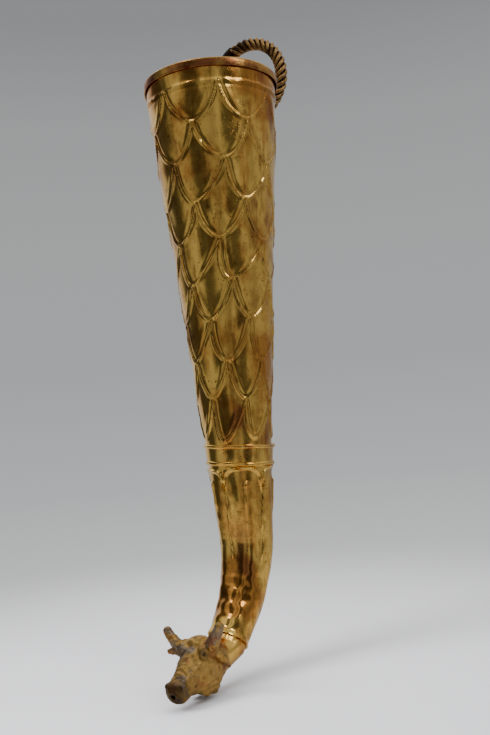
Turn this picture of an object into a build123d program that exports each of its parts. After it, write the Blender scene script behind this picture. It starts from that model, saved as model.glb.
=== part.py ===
"""Sheet-brass horn with a cast bull's head and a twisted hanging ring, in millimetres.

The origin is the centre of the mouth, in the plane of the rolled lip. +Z leaves the mouth along the
cone's axis, the neck bends towards -Y, where the bull's face looks, and the ring hangs at +Y.
"""

import os
from math import cos, degrees, pi, radians, sin

from build123d import *

# Cone: a tapered tube of sheet
LIP_OUTER_R = 45.8            # outside radius the cone's side would have at the lip plane
WAIST_OUTER_R = 22.3          # outside radius where the cone meets the neck
CONE_LENGTH = 258.5           # lip plane to the joint with the neck
SHEET = 1.0                   # thickness of the beaten sheet
BEAD_DEPTH = 15.0             # lip plane to the raised line below the plain band
BEAD_R = 0.9

# Rolled rim: a strip folded over a hem wire that lies on the cone's edge
RIM_STANDOFF = 1.2            # outside of the strip beyond the line of the cone
RIM_OUTER_R = LIP_OUTER_R + RIM_STANDOFF
RIM_HEIGHT = 5.0              # outer leg of the strip
RIM_INNER_HEIGHT = 6.0        # inner leg, which is the mouth's bore
STRIP = 0.8                   # thickness of the strip
RIM_FOLD_R = 0.56             # outside corner of the fold
HEM_WIRE_R = 0.8
RIM_CLEARANCE = 0.05          # between strip, wire and edge

# Waist collar: a band with two half-round ridges that covers the joint of cone and neck
RIDGE_SPACING = 11.4
RIDGE_R = 1.1
COLLAR_SHEET = 0.7
COLLAR_LAP = 1.6              # band beyond each ridge's middle
COLLAR_CLEARANCE = 0.02

# Neck: a tapered tube, straight and then bent towards -Y
NECK_STRAIGHT = 53.5
NECK_BEND_R = 78.0
NECK_BEND_ANGLE = 42.0
NECK_TAIL = 16.0              # straight run after the bend
NECK_END_R = 13.0             # outside radius at the head
BEND_STEPS = 4

# Lap strip over the cone's seam
SEAM_ARC = 9.0                # degrees round the axis
SEAM_SHEET = 0.6
SEAM_MARGIN = 1.5             # left free at each end of the strip

# Bull's head, a hollow casting. Each station is: distance past the neck's end, rise of the middle
# over the neck's end, pitch of the section below level, half depth, half width.
HEAD_STATIONS = (
    (12.0, -4.4, 34.0, 14.4, 11.6),
    (27.8, -8.0, 13.0, 17.8, 12.2),
    (40.5, -11.6, 20.0, 13.2, 9.6),
    (52.4, -13.7, 24.0, 8.3, 7.6),
    (58.6, -15.4, 24.0, 7.2, 7.0),
)
HEAD_COLLAR_R = 13.7          # casting where it butts on the neck
HEAD_WALL = 3.0
SPIGOT_LENGTH = 6.0           # part of the casting inside the neck
SPIGOT_CLEARANCE = 0.05
SPOUT_R = 1.6                 # hole in the muzzle
SPOUT_LENGTH = 3.4            # solid metal round the hole

# Horns and ears of the bull, placed from the middle of the poll's section
HORN_R = 2.6
HORN_ROUTE = ((6.0, 3.0, 11.5), (13.4, 4.4, 11.4), (20.0, 7.0, 23.8))   # out, ahead of the poll, up
HORN_BEND_R = 3.5
HORN_TIP_R = 1.56             # rounding of the blunt tip
EAR_ROOT = (8.5, 0.6, 6.4)
EAR_LENGTH, EAR_WIDTH, EAR_THICKNESS = 12.0, 6.5, 2.4
EAR_ROOT_WIDTH = 3.9
EAR_DROP = 0.2
LEFT_EAR_SWING, RIGHT_EAR_SWING = 40.0, 10.0

# Hanging ring: four strands laid round a core
RING_R = 28.2                 # middle of the rod
STRAND_R = 1.45
STRAND_OFFSET = 3.2           # strand's middle from the rod's middle
STRAND_COUNT = 4
STRAND_LAY = 19.7             # length of rod that one turn of the twist takes
STRAND_GAP = 0.1              # between core and strands
RING_GAP_ANGLE = 6.0          # opening between the rod's ends, inside the ferrule
FERRULE_AT = 126.0            # degrees from +X towards +Z, seen from -Y
FERRULE_LENGTH = 12.0
FERRULE_SHEET = 0.6
FERRULE_CLEARANCE = 0.06

# Lug that carries the ring
EYE_DEPTH = 9.5               # lip plane to the eye's middle
EYE_WIRE_R = 1.0
EYE_CLEARANCE = 0.55          # between the ring's rod and the eye
EYE_RIM_GAP = 0.9             # between the eye and the rim strip
EYE_BITE = 0.116              # depth of the eye's wire in the plate
PLATE_HEIGHT = 8.0
PLATE_ARC = 36.0              # degrees round the axis
PLATE_CORNER_R = 2.4
RIVET_R = 1.25
RIVET_HEAD_R, RIVET_HEAD_HEIGHT, RIVET_HEAD_TAPER = 2.3, 1.0, 35.0
ROVE_R, ROVE_HEIGHT = 2.6, 0.8
RIVET_AT = 11.5               # degrees either side of the back

# Worked out from the values above
STRAND_TURNS = round(2 * pi * RING_R / STRAND_LAY)
TAPER = (LIP_OUTER_R - WAIST_OUTER_R) / CONE_LENGTH
CONE_TOP = -(STRIP + 2 * HEM_WIRE_R + 2 * RIM_CLEARANCE)
ROD_R = STRAND_OFFSET + STRAND_R
EYE_R = ROD_R + EYE_CLEARANCE
EYE_MIDDLE_R = EYE_R + EYE_WIRE_R
EYE_OUTER_R = EYE_R + 2 * EYE_WIRE_R
NECK_LENGTH = NECK_STRAIGHT + radians(NECK_BEND_ANGLE) * NECK_BEND_R + NECK_TAIL


def cone_r(z):
    """Outside radius of the cone at height z."""
    return LIP_OUTER_R + TAPER * z


def neck_r(s):
    """Outside radius of the neck at distance s along its middle line."""
    return WAIST_OUTER_R + (NECK_END_R - WAIST_OUTER_R) * s / NECK_LENGTH


def neck_plane(s):
    """Section plane of the neck at distance s, its normal pointing to the head."""
    turn = min(max((s - NECK_STRAIGHT) / NECK_BEND_R, 0), radians(NECK_BEND_ANGLE))
    straight = min(s, NECK_STRAIGHT)
    tail = max(s - NECK_LENGTH + NECK_TAIL, 0)
    forward = NECK_BEND_R * (1 - cos(turn)) + tail * sin(turn)
    drop = straight + NECK_BEND_R * sin(turn) + tail * cos(turn)
    return Plane(
        origin=(0, -forward, -CONE_LENGTH - drop),
        x_dir=(1, 0, 0),
        z_dir=(0, -sin(turn), -cos(turn)),
    )


NECK_STOPS = [NECK_STRAIGHT + radians(NECK_BEND_ANGLE) * NECK_BEND_R * i / BEND_STEPS
              for i in range(BEND_STEPS + 1)] + [NECK_LENGTH]
NECK_END = neck_plane(NECK_LENGTH)


def head_plane(station):
    """Section plane of the head, its normal pointing to the muzzle."""
    ahead, rise, pitch = station[:3]
    return Plane(
        origin=NECK_END.origin + Vector(0, -ahead, rise),
        x_dir=(1, 0, 0),
        z_dir=(0, -cos(radians(pitch)), -sin(radians(pitch))),
    )


MUZZLE = head_plane(HEAD_STATIONS[-1])


def back_plane(turn):
    """Plane through the cone's axis, its X pointing back and turned from +Y towards +X."""
    return Plane(
        origin=(0, 0, 0),
        x_dir=(sin(radians(turn)), cos(radians(turn)), 0),
        z_dir=(cos(radians(turn)), -sin(radians(turn)), 0),
    )


# Eye's middle: clear of the rim strip's lower corner, which stands in front of the eye's top
corner_drop = EYE_DEPTH - RIM_HEIGHT
EYE_Y = RIM_OUTER_R + EYE_RIM_GAP + (EYE_OUTER_R**2 - corner_drop**2) ** 0.5
EYE_CENTRE = Vector(0, EYE_Y, -EYE_DEPTH)
PLATE_SHEET = EYE_Y - EYE_OUTER_R + EYE_BITE - cone_r(-EYE_DEPTH)
RING_PLANE = Plane(origin=EYE_CENTRE + Vector(0, 0, RING_R), x_dir=(1, 0, 0), z_dir=(0, -1, 0))


# ---------------------------------------------------------------- cone and its rim
with BuildPart() as horn_cone:
    with BuildSketch(Plane.XZ):
        with BuildLine():
            Polyline(
                (cone_r(CONE_TOP), CONE_TOP),
                (WAIST_OUTER_R, -CONE_LENGTH),
                (WAIST_OUTER_R - SHEET, -CONE_LENGTH),
                (cone_r(CONE_TOP) - SHEET, CONE_TOP),
                close=True,
            )
        make_face()
        with Locations((cone_r(-BEAD_DEPTH), -BEAD_DEPTH)):
            Circle(BEAD_R)
    revolve(axis=Axis.Z)

rim_inner_r = cone_r(CONE_TOP - RIM_INNER_HEIGHT) - SHEET - RIM_CLEARANCE - STRIP
with BuildPart() as rim_band:
    with BuildSketch(Plane.XZ):
        with BuildLine():
            Polyline(
                (RIM_OUTER_R, -RIM_HEIGHT),
                (RIM_OUTER_R, 0),
                (rim_inner_r, 0),
                (rim_inner_r, -RIM_INNER_HEIGHT),
                (rim_inner_r + STRIP, -RIM_INNER_HEIGHT),
                (rim_inner_r + STRIP, -STRIP),
                (RIM_OUTER_R - STRIP, -STRIP),
                (RIM_OUTER_R - STRIP, -RIM_HEIGHT),
                close=True,
            )
        fillet(make_face().vertices().sort_by(Axis.X)[-2:].sort_by(Axis.Z)[-1], RIM_FOLD_R)
    revolve(axis=Axis.Z)
rim_band.part.label = "rim_band"

with BuildPart() as rim_wire:
    with BuildSketch(Plane.XZ):
        with Locations((cone_r(CONE_TOP) - SHEET / 2, CONE_TOP + RIM_CLEARANCE + HEM_WIRE_R)):
            Circle(HEM_WIRE_R)
    revolve(axis=Axis.Z)
rim_wire.part.label = "rim_wire"

# ---------------------------------------------------------------- neck
with BuildPart() as neck_tube:
    for wall in (0, SHEET):
        mode = Mode.SUBTRACT if wall else Mode.ADD
        for s in (0, NECK_STRAIGHT):
            with BuildSketch(neck_plane(s)):
                Circle(neck_r(s) - wall)
        loft(mode=mode)
        for s in NECK_STOPS:
            with BuildSketch(neck_plane(s)):
                Circle(neck_r(s) - wall)
        loft(mode=mode)
neck_tube.part.label = "neck_tube"

# ---------------------------------------------------------------- waist collar and seam strip
collar_r = WAIST_OUTER_R + TAPER * RIDGE_SPACING / 2 + COLLAR_CLEARANCE
collar_half = RIDGE_SPACING / 2 + COLLAR_LAP
with BuildPart() as waist_collar:
    with BuildSketch(Plane.XZ):
        with Locations((collar_r, -CONE_LENGTH)):
            Rectangle(COLLAR_SHEET, 2 * collar_half, align=(Align.MIN, Align.CENTER))
        for side in (-1, 1):
            with Locations((collar_r + COLLAR_SHEET, -CONE_LENGTH + side * RIDGE_SPACING / 2)):
                Circle(RIDGE_R)
    revolve(axis=Axis.Z)
    add(horn_cone.part, mode=Mode.SUBTRACT)
    with BuildSketch(Plane.XY.offset(-CONE_LENGTH - collar_half)):
        Circle(WAIST_OUTER_R)
    extrude(amount=2 * collar_half, mode=Mode.SUBTRACT)
waist_collar.part.label = "waist_collar"

seam_top = -BEAD_DEPTH - BEAD_R - SEAM_MARGIN
seam_end = -CONE_LENGTH + collar_half + SEAM_MARGIN
with BuildPart() as cone_seam_strip:
    with BuildSketch(back_plane(SEAM_ARC / 2)):
        with BuildLine():
            Polyline(
                (cone_r(seam_top), seam_top),
                (cone_r(seam_top) + SEAM_SHEET, seam_top),
                (cone_r(seam_end) + SEAM_SHEET, seam_end),
                (cone_r(seam_end), seam_end),
                close=True,
            )
        make_face()
    revolve(axis=Axis.Z, revolution_arc=SEAM_ARC)
cone_seam_strip.part.label = "cone_seam_strip"

# ---------------------------------------------------------------- bull's head
POLL = head_plane(HEAD_STATIONS[1])


def skull_point(side, out, ahead, rise):
    """Point beside the poll; side is 1 on the animal's left."""
    return POLL.origin + Vector(side * out, -ahead, rise)


def horn_of(side):
    """Blunt horn that leaves the side of the skull and turns up."""
    route = [skull_point(side, *point) for point in HORN_ROUTE]
    with BuildPart() as horn:
        with BuildLine() as bend:
            FilletPolyline(*route, radius=HORN_BEND_R)
        with BuildSketch(Plane(origin=bend.line @ 0, z_dir=bend.line % 0)):
            Circle(HORN_R)
        sweep()
        fillet(horn.edges().sort_by(Axis.Z)[-1], HORN_TIP_R)
    return horn.part


def ear_of(side, swing):
    """Leaf-shaped ear below the horn, swung back from straight out by an angle."""
    lean = Vector(side * cos(radians(swing)), sin(radians(swing)), -EAR_DROP)
    leaf = Plane(origin=skull_point(side, *EAR_ROOT), x_dir=lean, z_dir=(side * EAR_DROP, 0, 1))
    with BuildPart() as ear:
        with BuildSketch(leaf):
            with BuildLine():
                root, tip = (0, EAR_ROOT_WIDTH / 2), (EAR_LENGTH, 0)
                middle = (EAR_LENGTH / 2, EAR_WIDTH / 2)
                ThreePointArc(root, middle, tip)
                mirror(about=Plane.XZ)
                Line(root, (0, -EAR_ROOT_WIDTH / 2))
            make_face()
        extrude(amount=EAR_THICKNESS / 2, both=True)
    return ear.part


left_horn, right_horn = horn_of(1), horn_of(-1)
left_ear, right_ear = ear_of(1, LEFT_EAR_SWING), ear_of(-1, RIGHT_EAR_SWING)

with BuildPart() as head_casting:
    for wall in (0, HEAD_WALL):
        with BuildSketch(NECK_END):
            Circle(HEAD_COLLAR_R - wall)
        for station in HEAD_STATIONS:
            short = SPOUT_LENGTH if wall and station is HEAD_STATIONS[-1] else 0
            with BuildSketch(head_plane(station).offset(-short)):
                Ellipse(station[4] - wall, station[3] - wall)
        loft(mode=Mode.SUBTRACT if wall else Mode.ADD)
    spigot_r = neck_r(NECK_LENGTH) - SHEET - SPIGOT_CLEARANCE
    with BuildSketch(NECK_END):
        Circle(spigot_r)
        Circle(HEAD_COLLAR_R - HEAD_WALL, mode=Mode.SUBTRACT)
    extrude(amount=-SPIGOT_LENGTH)
    with BuildSketch(MUZZLE):
        Circle(SPOUT_R)
    extrude(amount=-2 * SPOUT_LENGTH, mode=Mode.SUBTRACT)
    for fitted in (left_horn, right_horn, left_ear, right_ear):
        add(fitted, mode=Mode.SUBTRACT)
head_casting.part.label = "head_casting"

# ---------------------------------------------------------------- lug for the ring
with BuildPart() as lug_eye:
    with BuildSketch(Plane(origin=EYE_CENTRE, x_dir=(0, 1, 0), z_dir=(0, 0, 1))):
        with Locations((EYE_MIDDLE_R, 0)):
            Circle(EYE_WIRE_R)
    revolve(axis=Axis(EYE_CENTRE, (1, 0, 0)))
lug_eye.part.label = "lug_eye"

plate_top, plate_foot = -EYE_DEPTH + PLATE_HEIGHT / 2, -EYE_DEPTH - PLATE_HEIGHT / 2
with BuildPart() as lug_rivets:
    for side in (-1, 1):
        shank = back_plane(side * RIVET_AT)
        face = cone_r(-EYE_DEPTH) + PLATE_SHEET
        inside = cone_r(-EYE_DEPTH) - SHEET - ROVE_HEIGHT
        out = Plane(origin=(0, 0, -EYE_DEPTH), x_dir=(0, 0, 1), z_dir=shank.x_dir)
        with BuildSketch(out.offset(inside)):
            Circle(RIVET_R)
        extrude(amount=face - inside + RIVET_HEAD_HEIGHT / 2)
        with BuildSketch(out.offset(face)):
            Circle(RIVET_HEAD_R)
        extrude(amount=RIVET_HEAD_HEIGHT, taper=RIVET_HEAD_TAPER)
lug_rivets.part.label = "lug_rivets"

with BuildPart() as rivet_roves:
    for side in (-1, 1):
        out = Plane(origin=(0, 0, -EYE_DEPTH), x_dir=(0, 0, 1), z_dir=back_plane(side * RIVET_AT).x_dir)
        with BuildSketch(out.offset(cone_r(-EYE_DEPTH) - SHEET - ROVE_HEIGHT)):
            Circle(ROVE_R)
        extrude(amount=ROVE_HEIGHT + SHEET / 2)
    add(lug_rivets.part, mode=Mode.SUBTRACT)
    with BuildSketch(Plane.XZ):
        with BuildLine():
            Polyline(
                (cone_r(0) - SHEET, 0),
                (cone_r(-BEAD_DEPTH) - SHEET, -BEAD_DEPTH),
                (LIP_OUTER_R, -BEAD_DEPTH),
                (LIP_OUTER_R, 0),
                close=True,
            )
        make_face()
    revolve(axis=Axis.Z, mode=Mode.SUBTRACT)
rivet_roves.part.label = "rivet_roves"

with BuildPart() as lug_plate:
    with BuildSketch(back_plane(PLATE_ARC / 2)):
        with BuildLine():
            Polyline(
                (cone_r(plate_top), plate_top),
                (cone_r(plate_top) + PLATE_SHEET, plate_top),
                (cone_r(plate_foot) + PLATE_SHEET, plate_foot),
                (cone_r(plate_foot), plate_foot),
                close=True,
            )
        make_face()
    revolve(axis=Axis.Z, revolution_arc=PLATE_ARC)
    fillet(lug_plate.edges().filter_by(lambda e: e.length < 2 * PLATE_SHEET), PLATE_CORNER_R)
    for fitted in (lug_eye.part, lug_rivets.part):
        add(fitted, mode=Mode.SUBTRACT)
lug_plate.part.label = "lug_plate"

with BuildPart() as drilled_cone:
    add(horn_cone.part)
    add(lug_rivets.part, mode=Mode.SUBTRACT)
drilled_cone.part.label = "horn_cone"

# ---------------------------------------------------------------- hanging ring
gap = radians(RING_GAP_ANGLE) / 2
rod_start, rod_turn = radians(FERRULE_AT) + gap, 2 * pi - 2 * gap


def rod_plane(angle):
    """Section plane of the ring's rod at an angle round the ring."""
    return Plane(
        origin=RING_PLANE.origin + Vector(RING_R * cos(angle), 0, RING_R * sin(angle)),
        x_dir=(cos(angle), 0, sin(angle)),
        z_dir=(-sin(angle), 0, cos(angle)),
    )


def strand_point(number, share):
    """Point on a strand's middle line, share 0 to 1 along the rod."""
    plane = rod_plane(rod_start + rod_turn * share)
    lay = 2 * pi * (STRAND_TURNS * share + number / STRAND_COUNT)
    return plane.origin + STRAND_OFFSET * (cos(lay) * plane.x_dir + sin(lay) * plane.y_dir)


with BuildPart() as ring_core:
    with BuildSketch(rod_plane(rod_start)):
        Circle(STRAND_OFFSET - STRAND_R - STRAND_GAP)
    ring_axis = Axis(RING_PLANE.origin, (0, -1, 0))
    revolve(axis=ring_axis, revolution_arc=degrees(rod_turn))
ring_core.part.label = "ring_core"

STRAND_STEPS = 8 * STRAND_TURNS     # points on one strand's middle line
strands = []
for number in range(STRAND_COUNT):
    with BuildPart() as strand:
        with BuildLine() as lay_line:
            Spline(*(strand_point(number, i / STRAND_STEPS) for i in range(STRAND_STEPS + 1)))
        with BuildSketch(Plane(origin=lay_line.line @ 0, z_dir=lay_line.line % 0)):
            Circle(STRAND_R)
        sweep()
    strand.part.label = f"ring_strand_{number + 1}"
    strands.append(strand.part)

ferrule_angle = degrees(FERRULE_LENGTH / RING_R)
with BuildPart() as ring_ferrule:
    with BuildSketch(rod_plane(radians(FERRULE_AT - ferrule_angle / 2))):
        Circle(ROD_R + FERRULE_CLEARANCE + FERRULE_SHEET)
        Circle(ROD_R + FERRULE_CLEARANCE, mode=Mode.SUBTRACT)
    revolve(axis=ring_axis, revolution_arc=ferrule_angle)
ring_ferrule.part.label = "ring_ferrule"

# ---------------------------------------------------------------- pieces to files
for side, horn, ear in (("left", left_horn, left_ear), ("right", right_horn, right_ear)):
    horn.label, ear.label = f"{side}_horn", f"{side}_ear"

pieces = [drilled_cone.part, rim_band.part, rim_wire.part, waist_collar.part, neck_tube.part]
pieces += [cone_seam_strip.part, head_casting.part, left_horn, right_horn, left_ear, right_ear]
pieces += [lug_plate.part, lug_eye.part, lug_rivets.part, rivet_roves.part]
pieces += [ring_core.part, *strands, ring_ferrule.part]
os.makedirs("parts", exist_ok=True)
for piece in pieces:
    export_step(piece, f"parts/{piece.label}.step")
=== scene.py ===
"""Looks of a gilt sheet-brass horn with a cast bull's head and a twisted hanging ring.

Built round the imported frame. All sizes below are in millimetres and angles in degrees unless said
otherwise. An angle round the cone is counted from -Y, where the bull looks, towards +X.
"""

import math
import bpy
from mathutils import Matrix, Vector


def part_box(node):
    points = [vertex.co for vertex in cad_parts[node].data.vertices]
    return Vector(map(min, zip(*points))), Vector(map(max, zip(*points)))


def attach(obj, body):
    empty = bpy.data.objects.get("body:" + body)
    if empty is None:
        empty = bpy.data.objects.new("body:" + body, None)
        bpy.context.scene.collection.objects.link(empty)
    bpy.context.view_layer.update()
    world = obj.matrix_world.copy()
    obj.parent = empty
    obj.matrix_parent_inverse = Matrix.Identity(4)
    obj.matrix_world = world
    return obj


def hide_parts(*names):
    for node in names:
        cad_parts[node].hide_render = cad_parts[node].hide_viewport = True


bl_info = {
    "name": "Bull's-head horn",
    "version": (1, 0, 0),
    "blender": (4, 5, 0),
    "location": "View3D > Sidebar > Horn",
    "description": "Builds a beaten brass horn with a cast bull's head and a hanging ring",
    "category": "Object",
}

from functools import partial

import bmesh
import bpy
import numpy as np
from bpy.props import FloatProperty, IntProperty, PointerProperty, StringProperty
from mathutils import Euler, Matrix, Vector

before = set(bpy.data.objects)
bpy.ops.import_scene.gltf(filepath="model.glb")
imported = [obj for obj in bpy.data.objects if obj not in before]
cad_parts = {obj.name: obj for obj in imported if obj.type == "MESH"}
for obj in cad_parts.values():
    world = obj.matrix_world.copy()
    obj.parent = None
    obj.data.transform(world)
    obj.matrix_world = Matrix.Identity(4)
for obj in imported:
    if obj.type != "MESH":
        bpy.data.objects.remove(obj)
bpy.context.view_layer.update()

MM = 0.001
PER_M = 1000.0


def node_box(node):
    """Lowest and highest corner of a CAD node, in millimetres."""
    low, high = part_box(node)
    return Vector(low) * PER_M, Vector(high) * PER_M


# Sizes that the frame gives
CONE_LOW, CONE_HIGH = node_box("horn_cone")
NECK_HIGH = node_box("neck_tube")[1]
RIM_LOW, RIM_HIGH = node_box("rim_band")
COLLAR_LOW, COLLAR_HIGH = node_box("waist_collar")
CORE_LOW, CORE_HIGH = node_box("ring_core")

WAIST_Z = CONE_LOW.z
WAIST_R = NECK_HIGH.x
CONE_TOP_Z, CONE_TOP_R = CONE_HIGH.z, CONE_HIGH.x
TAPER = (CONE_TOP_R - WAIST_R) / (CONE_TOP_Z - WAIST_Z)
RING_CENTRE = (CORE_LOW + CORE_HIGH) / 2
CORE_R = (CORE_HIGH.y - CORE_LOW.y) / 2
RING_R = (CORE_HIGH.x - CORE_LOW.x) / 2 - CORE_R
FLOOR_Z = min(node_box(node)[0].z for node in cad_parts)

# The neck's middle line, as in the frame: straight, then bent towards -Y, then straight
NECK_STRAIGHT = 53.5
NECK_BEND_R = 78.0
NECK_BEND_ANGLE = math.radians(42.0)
NECK_TAIL = 16.0
NECK_END_R = 13.0
NECK_LENGTH = NECK_STRAIGHT + NECK_BEND_ANGLE * NECK_BEND_R + NECK_TAIL
SHEET = 1.0

FRONT_TURN = 34.0  # side that the beaten pattern is counted from


class HornSizes(bpy.types.PropertyGroup):
    """Sizes of the beaten and cast detail."""

    scales_round: IntProperty(name="Scales round", description="Scales in one row", default=7, min=4)
    scale_rows: IntProperty(name="Scale rows", description="Rows of scales", default=9, min=1)
    first_row: FloatProperty(
        name="First row", description="Lip plane to the tips of the first row, mm", default=38.8)
    row_pitch: FloatProperty(name="Row pitch", description="Height of one row, mm", default=26.1)
    ridge: FloatProperty(name="Ridge", description="Rise of a chased line, mm", default=0.8)
    ridge_width: FloatProperty(name="Ridge width", description="Half width of a line, mm", default=0.75)
    bead_depth: FloatProperty(
        name="Bead", description="Lip plane to the raised line under the rim, mm", default=15.0)
    flutes: IntProperty(name="Flutes", description="Arches round the neck", default=5, min=3)
    dents: FloatProperty(name="Dents", description="Unevenness of the beaten sheet, mm", default=0.3)
    skin: FloatProperty(name="Casting skin", description="Roughness of the casting, mm", default=0.16)


class HornColours(bpy.types.PropertyGroup):
    """Colours as sRGB hex values."""

    gilt: StringProperty(name="Gilt", description="Polished gilt brass", default="#F8CB6A")
    film: StringProperty(name="Film", description="Orange film on the sheet", default="#C07E3A")
    tarnish: StringProperty(name="Tarnish", description="Red-brown film on the rim", default="#8E5238")
    pits: StringProperty(name="Pits", description="Corroded pin holes", default="#7A451F")
    cast: StringProperty(name="Cast brass", description="Cast skin of the head", default="#BE9856")
    grey: StringProperty(name="Lead grey", description="Grey patches on the casting", default="#8C7F72")
    wire: StringProperty(name="Ring brass", description="Crowns of the twisted wire", default="#B08A58")
    # Dark brown for dirt, also used as painted shade in the ring's lays and in the head's eye and nostril
    # pits.
    dark_dirt_and_shade: StringProperty(name="Dirt", description="Dark dirt in the lays", default="#33241A")
    floor_mirrored: StringProperty(
        name="Floor in metal", description="Paper as the metal shows it", default="#A09C96")
    floor: StringProperty(name="Floor", description="Pale paper sweep", default="#D9DADF")


# ---------------------------------------------------------------- small helpers
# Settings of the nodes that the materials use
SMOOTH = {"interpolation_type": "SMOOTHSTEP"}
COLOURS = {"data_type": "RGBA"}
ADD, SUBTRACT, MULTIPLY, DIVIDE = ({"operation": word} for word in ("ADD", "SUBTRACT", "MULTIPLY", "DIVIDE"))
LARGER, ARC_TANGENT, DISTANCE, LENGTH, SCALE = (
    {"operation": word} for word in ("MAXIMUM", "ARCTAN2", "DISTANCE", "LENGTH", "SCALE"))


def linear(hex_colour):
    """sRGB hex to the linear colour that shaders take."""
    parts = [int(hex_colour[i:i + 2], 16) / 255 for i in (1, 3, 5)]
    return tuple(c / 12.92 if c <= 0.04045 else ((c + 0.055) / 1.055) ** 2.4 for c in parts) + (1.0,)


def add_node(tree, kind, settings=None, *values, **named):
    """Adds a shader node, sets its properties, and sets or links its inputs in use, in order or by
    name. A node as a value is linked from its first output in use; a hex value is a colour."""
    node = tree.nodes.new("ShaderNode" + kind)
    for name, value in (settings or {}).items():
        setattr(node, name, value)
    sockets = [socket for socket in node.inputs if socket.enabled]
    by_name = {socket.name: socket for socket in reversed(sockets)}
    pairs = list(zip(sockets, values)) + [(by_name[name.replace("_", " ")], named[name]) for name in named]
    for socket, value in pairs:
        if isinstance(value, bpy.types.Node):
            value = next(output for output in value.outputs if output.enabled)
        if isinstance(value, bpy.types.NodeSocket):
            tree.links.new(value, socket)
        else:
            socket.default_value = linear(value) if isinstance(value, str) else value
    return node


def ripple(points, wavelength, seed):
    """Smooth wandering value between about -1 and 1 at each point, from seeded waves."""
    rng = np.random.default_rng(seed)
    total = np.zeros(points.shape[:-1])
    waves = 7
    for _ in range(waves):
        direction = rng.normal(size=3)
        direction /= np.linalg.norm(direction)
        length = wavelength * rng.uniform(0.7, 1.6)
        total += np.sin(points @ direction * (2 * np.pi / length) + rng.uniform(0, 2 * np.pi))
    return total / math.sqrt(waves)


def bell(distance, width):
    """Bell that is 1 at no distance."""
    return np.exp(-(distance / width) ** 2)


def fade(value, start, end):
    """0 before start, 1 after end, smooth between."""
    t = np.clip((value - start) / (end - start), 0, 1)
    return t * t * (3 - 2 * t)


def add_object(name, data):
    """New object in the scene."""
    obj = bpy.data.objects.new(name, data)
    bpy.context.scene.collection.objects.link(obj)
    return obj


def ring_points(radius, angle, z):
    """Points round the Z axis, by angle from -Y towards +X."""
    return np.stack([radius * np.sin(angle), -radius * np.cos(angle), z + 0 * angle], axis=-1)


def mesh_from(name, points, faces):
    """Object from an array of points in millimetres and a list of faces."""
    mesh = bpy.data.meshes.new(name)
    mesh.from_pydata((points * MM).tolist(), [], faces)
    mesh.validate()
    mesh.polygons.foreach_set("use_smooth", [True] * len(mesh.polygons))
    mesh.update()
    return add_object(name, mesh)


def solid_from(name, shell):
    """Object from a closed form in millimetres, its faces turned outwards."""
    for vert in shell.verts:
        vert.co *= MM
    bmesh.ops.recalc_face_normals(shell, faces=shell.faces)
    mesh = bpy.data.meshes.new(name)
    shell.to_mesh(mesh)
    shell.free()
    return add_object(name, mesh)


def apply_modifiers(obj):
    """Gives a piece the mesh that its modifiers make of it, and takes them off."""
    evaluated = obj.evaluated_get(bpy.context.evaluated_depsgraph_get())
    result = bpy.data.meshes.new_from_object(evaluated)
    obj.modifiers.clear()
    obj.data = result


def sleeve(name, rings, sharp=50.0):
    """Closed wall through rings of equal count, the last ring joined to the first."""
    count, around = rings.shape[:2]
    index = np.arange(count * around).reshape(count, around)
    down, side = np.roll(index, -1, axis=0), np.roll(index, -1, axis=1)
    both = np.roll(down, -1, axis=1)
    faces = np.stack([index, side, both, down], axis=-1).reshape(-1, 4)
    obj = mesh_from(name, rings.reshape(-1, 3), faces.tolist())
    face_outwards(obj)
    obj.data.set_sharp_from_angle(angle=math.radians(sharp))
    return obj


def keep_dirt_and_shade(obj, film):
    """Keeps on each vertex how much dark colour lies there, for the material: film in the sheet's
    grooves, and on the head painted shade in the eyes and nostrils with a dark tint on the muzzle.
    """
    layer = obj.data.attributes.new("film", "FLOAT", "POINT")
    layer.data.foreach_set("value", np.clip(film, 0, 1).ravel())


def face_outwards(obj):
    """Turns every face's normal out of the solid."""
    shell = bmesh.new()
    shell.from_mesh(obj.data)
    bmesh.ops.recalc_face_normals(shell, faces=shell.faces)
    shell.to_mesh(obj.data)
    shell.free()


def finish_piece(obj, maker, slot, body, *nodes):
    """Gives a piece its material and its body, and hides the CAD nodes that it stands for."""
    obj.data.materials.clear()
    obj.data.materials.append(made_material(maker))
    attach(obj, body)
    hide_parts(*nodes)


def sheet_piece(name, node, rings_at, outside, inside):
    """Sleeve of gilt sheet through rings outside and inside, with its dirt and its dull lining."""
    sizes = bpy.context.scene.horn_sizes
    outer, film = rings_at(sizes, outside, False)
    inner, _ = rings_at(sizes, inside, True)
    piece = sleeve(name, np.concatenate([outer, inner]))
    keep_dirt_and_shade(piece, np.concatenate([film, np.zeros(inner.shape[:2])]))
    finish_piece(piece, gilt_beaten_brass, "gilt_sheet", "horn", node)
    piece.data.materials.append(made_material(dull_inside_brass))
    for face in piece.data.polygons[-inner.shape[0] * inner.shape[1]:]:
        face.material_index = 1


def dress(maker, *nodes):
    """Gives carried-over CAD nodes a material in every slot."""
    material = made_material(maker)
    for node in nodes:
        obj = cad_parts[node]
        for place in obj.material_slots:
            place.material = material
        if not obj.material_slots:
            obj.data.materials.append(material)


def start_nodes(owner):
    """Clears the nodes of a material or world, and gives add_node for its tree."""
    owner.use_nodes = True
    owner.node_tree.nodes.clear()
    return partial(add_node, owner.node_tree)


def start_material(name):
    """Empty material, add_node for its tree, and the piece's coordinates in millimetres."""
    material = bpy.data.materials.new(name)
    node = start_nodes(material)
    place = node("TexCoord").outputs["Object"]
    return material, node, node("Mapping", Vector=place, Scale=(PER_M,) * 3)


def cloud(node, where, size, detail=4.0, stretch=(1, 1, 1)):
    """Cloudy pattern from 0 to 1 whose cells are about one size in millimetres."""
    place = node("Mapping", Vector=where, Scale=stretch)
    return node("TexNoise", Vector=place, Scale=1 / size, Detail=detail, Roughness=0.6)


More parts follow.
